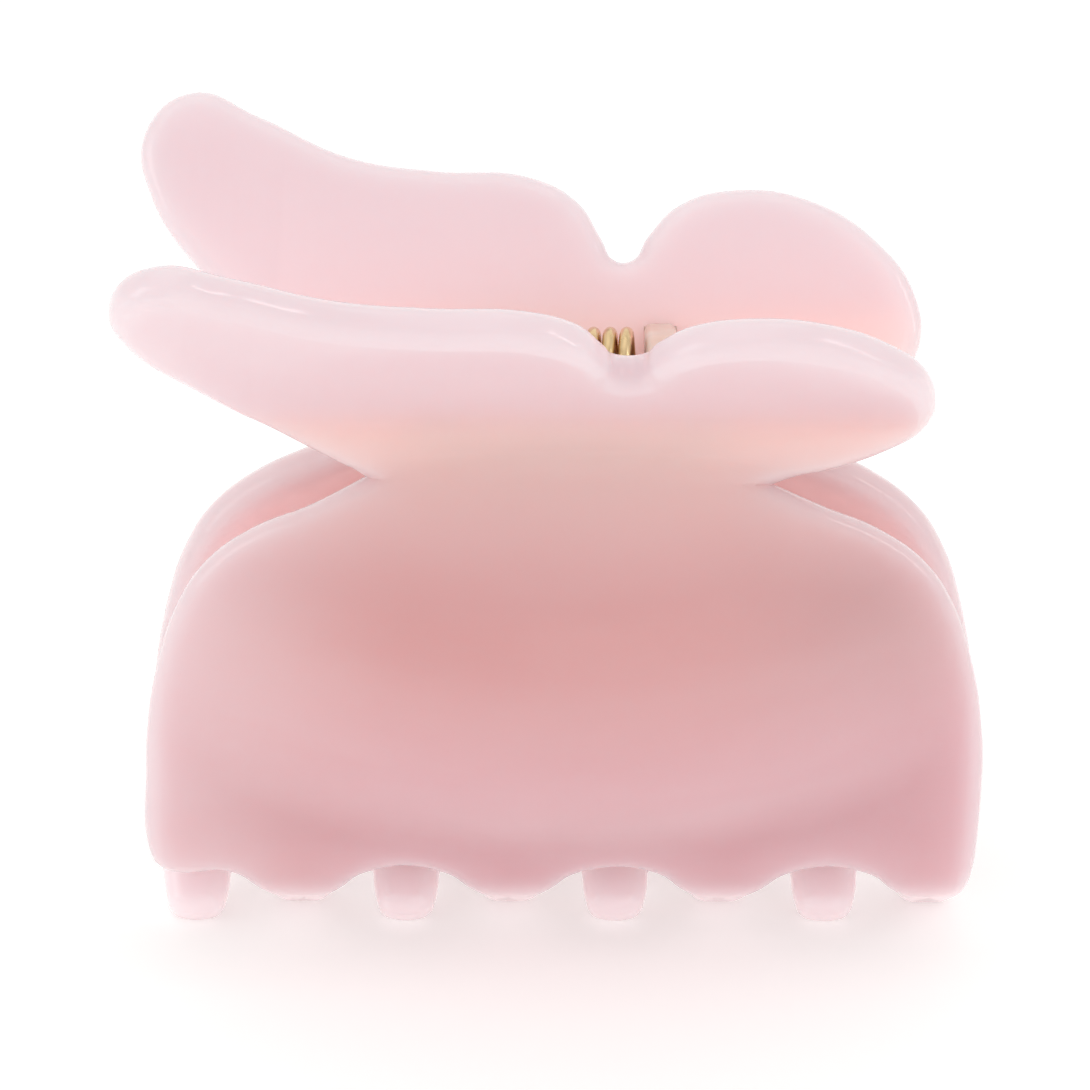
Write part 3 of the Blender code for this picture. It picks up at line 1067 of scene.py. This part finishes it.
@dataclass
class Lug:
    """A hinge lug welded inside a claw: a barrel about the pin with a flared root."""

    side: Side
    hand: Hand
    hinge: HingeSizes
    edge: float = 0.7 * MM
    round_steps: int = 40
    root_steps: int = 16
    weld: float = 0.12 * MM
    crease_degrees: float = 40.0
    edge_steps: int = 3

    @property
    def name(self) -> str:
        """The lug's CAD node."""
        return f"{self.side.word}_lug_{self.hand.name.lower()}"

    @property
    def x(self) -> float:
        """The lug's middle along the pin."""
        inner = self.side is Side.BACK
        return self.hand.value * (self.hinge.inner_lug_x if inner else self.hinge.outer_lug_x)

    def seat(self, height: float) -> float:
        """How far out the lug's root reaches, just into the claw's inner face.

        Args:
            height: the height above the floor.

        Returns:
            The offset from the middle plane.
        """
        centre = SHEET.rim_offset + SHEET.neck_radius
        radius = SHEET.neck_radius + (SHEET.thickness / 2 - self.weld)
        arc_top = SHEET.neck_z + radius * math.sin(SHEET.wing_lean)
        if height <= arc_top:
            rise = height - SHEET.neck_z
            return centre - math.sqrt(radius**2 - rise**2)
        foot = centre - radius * math.cos(SHEET.wing_lean)
        return foot + (height - arc_top) * math.tan(SHEET.wing_lean)

    def outline(self) -> list[tuple[float, float]]:
        """Walks the lug's side view about the pin.

        Returns:
            Points of (outwards, up).
        """
        radius = self.hinge.barrel_radius
        points = []
        half = self.round_steps // 2
        for i in range(half + 1):
            angle = math.pi / 2 + math.pi * i / half
            points.append((radius * math.cos(angle), radius * math.sin(angle)))
        for i in range(self.root_steps + 1):
            height = -radius + (radius + self.hinge.lug_root_rise) * i / self.root_steps
            points.append((self.seat(self.hinge.height + height), height))
        return points

    def bore(self) -> list[tuple[float, float]]:
        """Walks the bore that the pin runs in.

        Returns:
            Points of (outwards, up).
        """
        radius = self.hinge.pin_radius + self.hinge.clearance
        angles = [-math.tau * i / self.round_steps for i in range(self.round_steps)]
        return [(radius * math.cos(angle), radius * math.sin(angle)) for angle in angles]

    def build(self, material: bpy.types.Material) -> bpy.types.Object:
        """Extrudes and dresses the lug.

        Args:
            material: the lug's acetate.

        Returns:
            The finished lug, riding on its body.
        """
        curve = plate_curve(self.name, self.hinge.lug_width, self.edge, self.edge_steps)
        for outline in (self.outline(), self.bore()):
            spline = curve.splines.new("POLY")
            spline.points.add(len(outline) - 1)
            spline.use_cyclic_u = True
            for point, (y, z) in zip(spline.points, outline):
                point.co = (y, z, 0.0, 1.0)
        shape = shape_of(bpy.data.objects.new(self.name, curve))
        turn = Matrix(((0, 0, 1), (self.side.value, 0, 0), (0, 1, 0))).to_4x4()
        turn.translation = (self.x, 0.0, self.hinge.height)
        bmesh.ops.transform(shape, matrix=turn, verts=shape.verts)
        bmesh.ops.recalc_face_normals(shape, faces=shape.faces)
        lug = finished_object(f"{self.name}_barrel", shape, self.crease_degrees)
        lug.data.materials.append(material)
        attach(lug, self.side.body)
        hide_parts(self.name)
        return lug


@dataclass
class HingePin:
    """The pin with its formed head, and the cap pressed on its other end."""

    hinge: HingeSizes
    steps: int = 48
    dome_steps: int = 8
    crease_degrees: float = 40.0

    def dome(self, start: float, end: float, radius: float) -> Iterator[tuple[float, float]]:
        """Profile points of a shallow dome.

        Args:
            start: x of its rim.
            end: x of its crown.
            radius: the radius of its rim.

        Yields:
            Points of (x, radius).
        """
        for i in range(self.dome_steps + 1):
            angle = math.pi / 2 * i / self.dome_steps
            yield start + (end - start) * math.sin(angle), radius * math.cos(angle)

    def turned(self, name: str, profile: Sequence[tuple[float, float]]) -> bpy.types.Object:
        """Turns a profile about the pin's axis.

        Args:
            name: the CAD node that the piece stands for.
            profile: points of (x, radius), from one end of the axis to the other.

        Returns:
            The turned piece.
        """
        shape = bmesh.new()
        centre = Vector((0, 0, self.hinge.height))
        verts = [shape.verts.new(centre + Vector((x, 0, radius))) for x, radius in profile]
        edges = [shape.edges.new(pair) for pair in zip(verts, verts[1:])]
        bmesh.ops.spin(
            shape,
            geom=verts + edges,
            cent=centre,
            axis=(1, 0, 0),
            angle=math.tau,
            steps=self.steps,
            use_merge=True,
        )
        bmesh.ops.remove_doubles(shape, verts=shape.verts, dist=CUT_TOLERANCE)
        bmesh.ops.recalc_face_normals(shape, faces=shape.faces)
        return finished_object(f"{name}_turned", shape, self.crease_degrees)

    def build(self, material: bpy.types.Material) -> list[bpy.types.Object]:
        """Turns and dresses the pin and its cap.

        Args:
            material: the gold.

        Returns:
            The pin and the cap.
        """
        h = self.hinge
        shank_end = h.pin_half + h.head_thickness - h.cap_wall
        pin = list(reversed(list(self.dome(-h.pin_half, -h.pin_half - h.head_thickness, h.head_radius))))
        pin += [(-h.pin_half, h.pin_radius), (shank_end, h.pin_radius), (shank_end, 0.0)]
        floor = shank_end + h.clearance
        bore = h.pin_radius + h.clearance
        cap = [(floor, 0.0), (floor, bore), (h.pin_half, bore)]
        cap += list(self.dome(h.pin_half, h.pin_half + h.head_thickness + h.cap_wall, h.head_radius))
        made = []
        for name, profile in (("hinge_pin", pin), ("pin_cap", cap)):
            piece = self.turned(name, profile)
            piece.data.materials.append(material)
            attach(piece, Side.FRONT.body)
            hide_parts(name)
            made.append(piece)
        return made


@dataclass
class TorsionSpring:
    """The closing spring: a close coil round the pin with a straight leg up each wing."""

    hinge: HingeSizes
    wire_radius: float = 0.6 * MM
    leg_gap: float = 0.3 * MM
    turns: int = 9
    leg_length: float = 4.8 * MM
    points: int = 700
    wire_sides: int = 14
    crease_degrees: float = 50.0

    @property
    def coil_radius(self) -> float:
        """The radius of the coil's middle line.

        Returns:
            The radius that brings the legs flat on the wings.
        """
        lean = SHEET.wing_lean
        out = SHEET.rim_offset + SHEET.neck_radius * (1 - math.cos(lean))
        up = SHEET.neck_radius * math.sin(lean) - (self.hinge.height - SHEET.neck_z)
        wing = out * math.cos(lean) - up * math.sin(lean)
        return wing - SHEET.thickness / 2 - self.leg_gap - self.wire_radius

    def inputs(self) -> dict[str, float]:
        """Works out the sizes that the tree takes.

        Returns:
            Each size by its input's name.
        """
        sweep = math.tau * self.turns - (math.pi - 2 * SHEET.wing_lean) - math.pi
        arc = self.coil_radius * sweep
        return {
            "Coil Radius": self.coil_radius,
            "Half Length": self.hinge.coil_length / 2 - self.wire_radius,
            "Wire Radius": self.wire_radius,
            "Leg Length": self.leg_length,
            "Leg Share": self.leg_length / (arc + 2 * self.leg_length),
            "Lean": SHEET.wing_lean,
            "Sweep": sweep,
            "Height": self.hinge.height,
        }

    def tree(self, material: bpy.types.Material) -> bpy.types.NodeTree:
        """Builds the Geometry Nodes tree of the wire.

        Args:
            material: the gold.

        Returns:
            The tree, with one input for each size.
        """
        tree = bpy.data.node_groups.new("coiled_wire", "GeometryNodeTree")
        tree.interface.new_socket("Geometry", in_out="OUTPUT", socket_type="NodeSocketGeometry")
        for label, value in self.inputs().items():
            socket = tree.interface.new_socket(label, in_out="INPUT", socket_type="NodeSocketFloat")
            socket.default_value = value
        size = tree.nodes.new("NodeGroupInput").outputs
        line = tree.nodes.new("GeometryNodeMeshLine")
        line.inputs["Count"].default_value = self.points
        index = tree.nodes.new("GeometryNodeInputIndex").outputs[0]
        along = math_node(tree, "DIVIDE", index, float(self.points - 1))
        first_leg = ramp_node(tree, along, 0.0, size["Leg Share"], 1.0, 0.0, "LINEAR")
        last_start = math_node(tree, "SUBTRACT", 1.0, size["Leg Share"])
        last_leg = ramp_node(tree, along, last_start, 1.0, kind="LINEAR")
        turned = ramp_node(tree, along, size["Leg Share"], last_start, kind="LINEAR")
        swept = product(tree, turned, size["Sweep"])
        angle = product(tree, math_node(tree, "ADD", swept, size["Lean"]), -1.0)
        centred = math_node(tree, "SUBTRACT", product(tree, turned, 2.0), 1.0)
        across = product(tree, centred, size["Half Length"])
        lean_sin, lean_cos = (math_node(tree, kind, size["Lean"]) for kind in ("SINE", "COSINE"))
        angle_sin, angle_cos = (math_node(tree, kind, angle) for kind in ("SINE", "COSINE"))
        spread = math_node(tree, "SUBTRACT", first_leg, last_leg)
        spread = product(tree, spread, lean_sin, size["Leg Length"])
        lifted = math_node(tree, "ADD", first_leg, last_leg)
        lifted = product(tree, lifted, lean_cos, size["Leg Length"])
        y = math_node(tree, "ADD", product(tree, angle_cos, size["Coil Radius"]), spread)
        z = math_node(tree, "ADD", product(tree, angle_sin, size["Coil Radius"]), lifted)
        z = math_node(tree, "ADD", z, size["Height"])
        place = tree.nodes.new("ShaderNodeCombineXYZ")
        for socket, value in zip(place.inputs, (across, y, z)):
            link(tree, value, socket)
        moved = tree.nodes.new("GeometryNodeSetPosition")
        link(tree, line.outputs["Mesh"], moved.inputs["Geometry"])
        link(tree, place.outputs[0], moved.inputs["Position"])
        path = tree.nodes.new("GeometryNodeMeshToCurve")
        link(tree, moved.outputs["Geometry"], path.inputs["Mesh"])
        section = tree.nodes.new("GeometryNodeCurvePrimitiveCircle")
        section.inputs["Resolution"].default_value = self.wire_sides
        link(tree, size["Wire Radius"], section.inputs["Radius"])
        tube = tree.nodes.new("GeometryNodeCurveToMesh")
        tube.inputs["Fill Caps"].default_value = True
        link(tree, path.outputs["Curve"], tube.inputs["Curve"])
        link(tree, section.outputs["Curve"], tube.inputs["Profile Curve"])
        real = tree.nodes.new("GeometryNodeRealizeInstances")
        link(tree, tube.outputs["Mesh"], real.inputs["Geometry"])
        dressed = tree.nodes.new("GeometryNodeSetMaterial")
        dressed.inputs["Material"].default_value = material
        link(tree, real.outputs["Geometry"], dressed.inputs["Geometry"])
        result = tree.nodes.new("NodeGroupOutput")
        link(tree, dressed.outputs["Geometry"], result.inputs["Geometry"])
        return tree

    def build(self, material: bpy.types.Material) -> bpy.types.Object:
        """Winds and dresses the spring.

        Args:
            material: the gold.

        Returns:
            The finished spring.
        """
        holder = bpy.data.objects.new("wire_holder", bpy.data.meshes.new("wire_holder"))
        bpy.context.scene.collection.objects.link(holder)
        modifier = holder.modifiers.new("Wire", "NODES")
        modifier.node_group = self.tree(material)
        sizes = self.inputs()
        for item in modifier.node_group.interface.items_tree:
            if item.in_out == "INPUT":
                modifier[item.identifier] = sizes[item.name]
        bpy.context.view_layer.update()
        graph = bpy.context.evaluated_depsgraph_get()
        mesh = bpy.data.meshes.new_from_object(holder.evaluated_get(graph))
        mesh.name = "torsion_spring_wire"
        holder.modifiers.remove(modifier)
        bpy.data.objects.remove(holder)
        mesh.shade_smooth()
        mesh.set_sharp_from_angle(angle=math.radians(self.crease_degrees))
        spring = bpy.data.objects.new("torsion_spring_wire", mesh)
        bpy.context.scene.collection.objects.link(spring)
        half = sizes["Half Length"]
        start, end = (-half, 0.0, self.hinge.height), (half, 0.0, self.hinge.height)
        Side.BACK.body
        Side.FRONT.body
        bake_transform(spring)
        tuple(start)
        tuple(end)
        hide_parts("torsion_spring")
        return spring


# ------------------------------------------------------------------------- the studio


@dataclass(frozen=True)
class Softbox:
    """One large soft lamp that looks at the clip."""

    name: str
    place: tuple[float, float, float]
    width: float
    height: float
    watts: float

    def build(self, target: Vector) -> None:
        """Hangs the lamp.

        Args:
            target: the point that it looks at.
        """
        light = bpy.data.lights.new(self.name, "AREA")
        light.shape = "RECTANGLE"
        light.size = self.width
        light.size_y = self.height
        light.energy = self.watts
        lamp = bpy.data.objects.new(self.name, light)
        lamp.location = self.place
        lamp.rotation_euler = (target - Vector(self.place)).to_track_quat("-Z", "Y").to_euler()
        bpy.context.scene.collection.objects.link(lamp)


@dataclass
class Studio:
    """A pale floor, soft light from above, and the camera."""

    floor_colour: Color = (0.96, 0.96, 0.95)
    floor_shade: float = 0.97
    floor_glow: float = 0.20
    floor_reach: float = 2.0
    floor_back: float = 1.2
    bend_radius: float = 0.6
    bend_steps: int = 12
    wall_height: float = 2.2
    surround: Color = (1.0, 1.0, 0.995)
    surround_strength: float = 0.78
    elevation: float = math.radians(26.65)
    turn: float = math.radians(-0.40)
    roll: float = math.radians(-0.34)
    aim: tuple[float, float, float] = (-1.877 * MM, 0.0, 38.43 * MM)
    distance: float = 411.06 * MM
    lens: float = 148.51
    lamps: tuple[Softbox, ...] = field(
        default=(
            Softbox("overhead_softbox", (-0.10, 0.05, 0.75), 0.80, 0.60, 0.55),
            Softbox("left_softbox", (-0.75, -0.25, 0.45), 0.35, 0.60, 0.70),
            Softbox("right_strip", (0.60, -0.10, 0.42), 0.06, 0.50, 0.35),
            Softbox("front_softbox", (0.30, -0.85, 0.30), 0.90, 0.60, 0.45),
        )
    )

    def floor(self) -> None:
        """Lays the floor with an upturned back, so that no horizon shows."""
        shape = bmesh.new()
        path = [(-self.floor_reach, 0.0)]
        for i in range(self.bend_steps + 1):
            angle = math.pi / 2 * i / self.bend_steps
            y = self.floor_back + self.bend_radius * math.sin(angle)
            path.append((y, self.bend_radius * (1 - math.cos(angle))))
        path.append((self.floor_back + self.bend_radius, self.wall_height))
        rows = []
        for y, z in path:
            rows.append([shape.verts.new((x, y, z)) for x in (-self.floor_reach, self.floor_reach)])
        for low, high in zip(rows, rows[1:]):
            shape.faces.new((low[0], low[1], high[1], high[0]))
        floor = finished_object("studio_floor", shape, 60.0)
        material, tree, shader = blank_material("floor_paint")
        share = ramp_node(tree, cloud_node(tree, 3.0).outputs["Fac"], 0.3, 0.7, 0.0, 0.3)
        shaded = tuple(self.floor_shade * part for part in self.floor_colour)
        colour = mix_node(tree, share, self.floor_colour, shaded)
        link(tree, colour, shader.inputs["Base Color"])
        shader.inputs["Emission Color"].default_value = (1.0, 1.0, 0.99, 1.0)
        shader.inputs["Emission Strength"].default_value = self.floor_glow
        shader.inputs["Roughness"].default_value = 0.9
        shader.inputs["Specular IOR Level"].default_value = 0.1
        floor.data.materials.append(material)

    def light(self) -> None:
        """Sets the surround and hangs the lamps."""
        world = bpy.data.worlds.new("studio_surround")
        world.use_nodes = True
        background = world.node_tree.nodes["Background"]
        background.inputs["Color"].default_value = (*self.surround, 1.0)
        background.inputs["Strength"].default_value = self.surround_strength
        scene = bpy.context.scene
        scene.world = world
        scene.view_settings.view_transform = "Standard"
        for lamp in self.lamps:
            lamp.build(Vector(self.aim))

    def camera(self) -> None:
        """Sets the camera on its line of sight, a little above the clip."""
        level = Vector((-math.sin(self.turn), math.cos(self.turn), 0.0))
        forward = level * math.cos(self.elevation) - Vector((0, 0, math.sin(self.elevation)))
        right = Vector((math.cos(self.turn), math.sin(self.turn), 0.0))
        up = level * math.sin(self.elevation) + Vector((0, 0, math.cos(self.elevation)))
        tilted_right = right * math.cos(self.roll) - up * math.sin(self.roll)
        tilted_up = right * math.sin(self.roll) + up * math.cos(self.roll)
        data = bpy.data.cameras.new("camera")
        data.type = "PERSP"
        data.lens = self.lens
        data.sensor_width = 36.0
        data.clip_start = 0.01
        data.clip_end = 20.0
        camera = bpy.data.objects.new("camera", data)
        turn = Matrix((tilted_right, tilted_up, -forward)).transposed().to_4x4()
        turn.translation = Vector(self.aim) - forward * self.distance
        camera.matrix_world = turn
        scene = bpy.context.scene
        scene.collection.objects.link(camera)
        scene.camera = camera

    def build(self) -> None:
        """Builds the floor, the light and the camera."""
        self.floor()
        self.light()
        self.camera()


def main() -> None:
    """Builds the clip piece by piece on the CAD frame, then the studio."""
    logging.basicConfig(level=logging.INFO, format="%(message)s")
    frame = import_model()
    joint = frame["record"]["behaviour"]["joints"][0]
    hinge = HingeSizes(height=joint["pos_m"][2])
    acetate = AcetateFinish().make()
    lug_acetate = LugFinish().make()
    gold = GoldFinish().make()
    pieces = [
        Claw(Side.FRONT, Hand.RIGHT).build(acetate),
        Claw(Side.BACK, Hand.LEFT).build(acetate),
    ]
    for side in Side:
        for hand in Hand:
            pieces.append(Lug(side, hand, hinge).build(lug_acetate))
    pieces += HingePin(hinge).build(gold)
    pieces.append(TorsionSpring(hinge).build(gold))
    for piece in pieces:
        LOG.info("%s: %d faces", piece.name, len(piece.data.polygons))
    Studio().build()


if __name__ == "__main__":
    main()
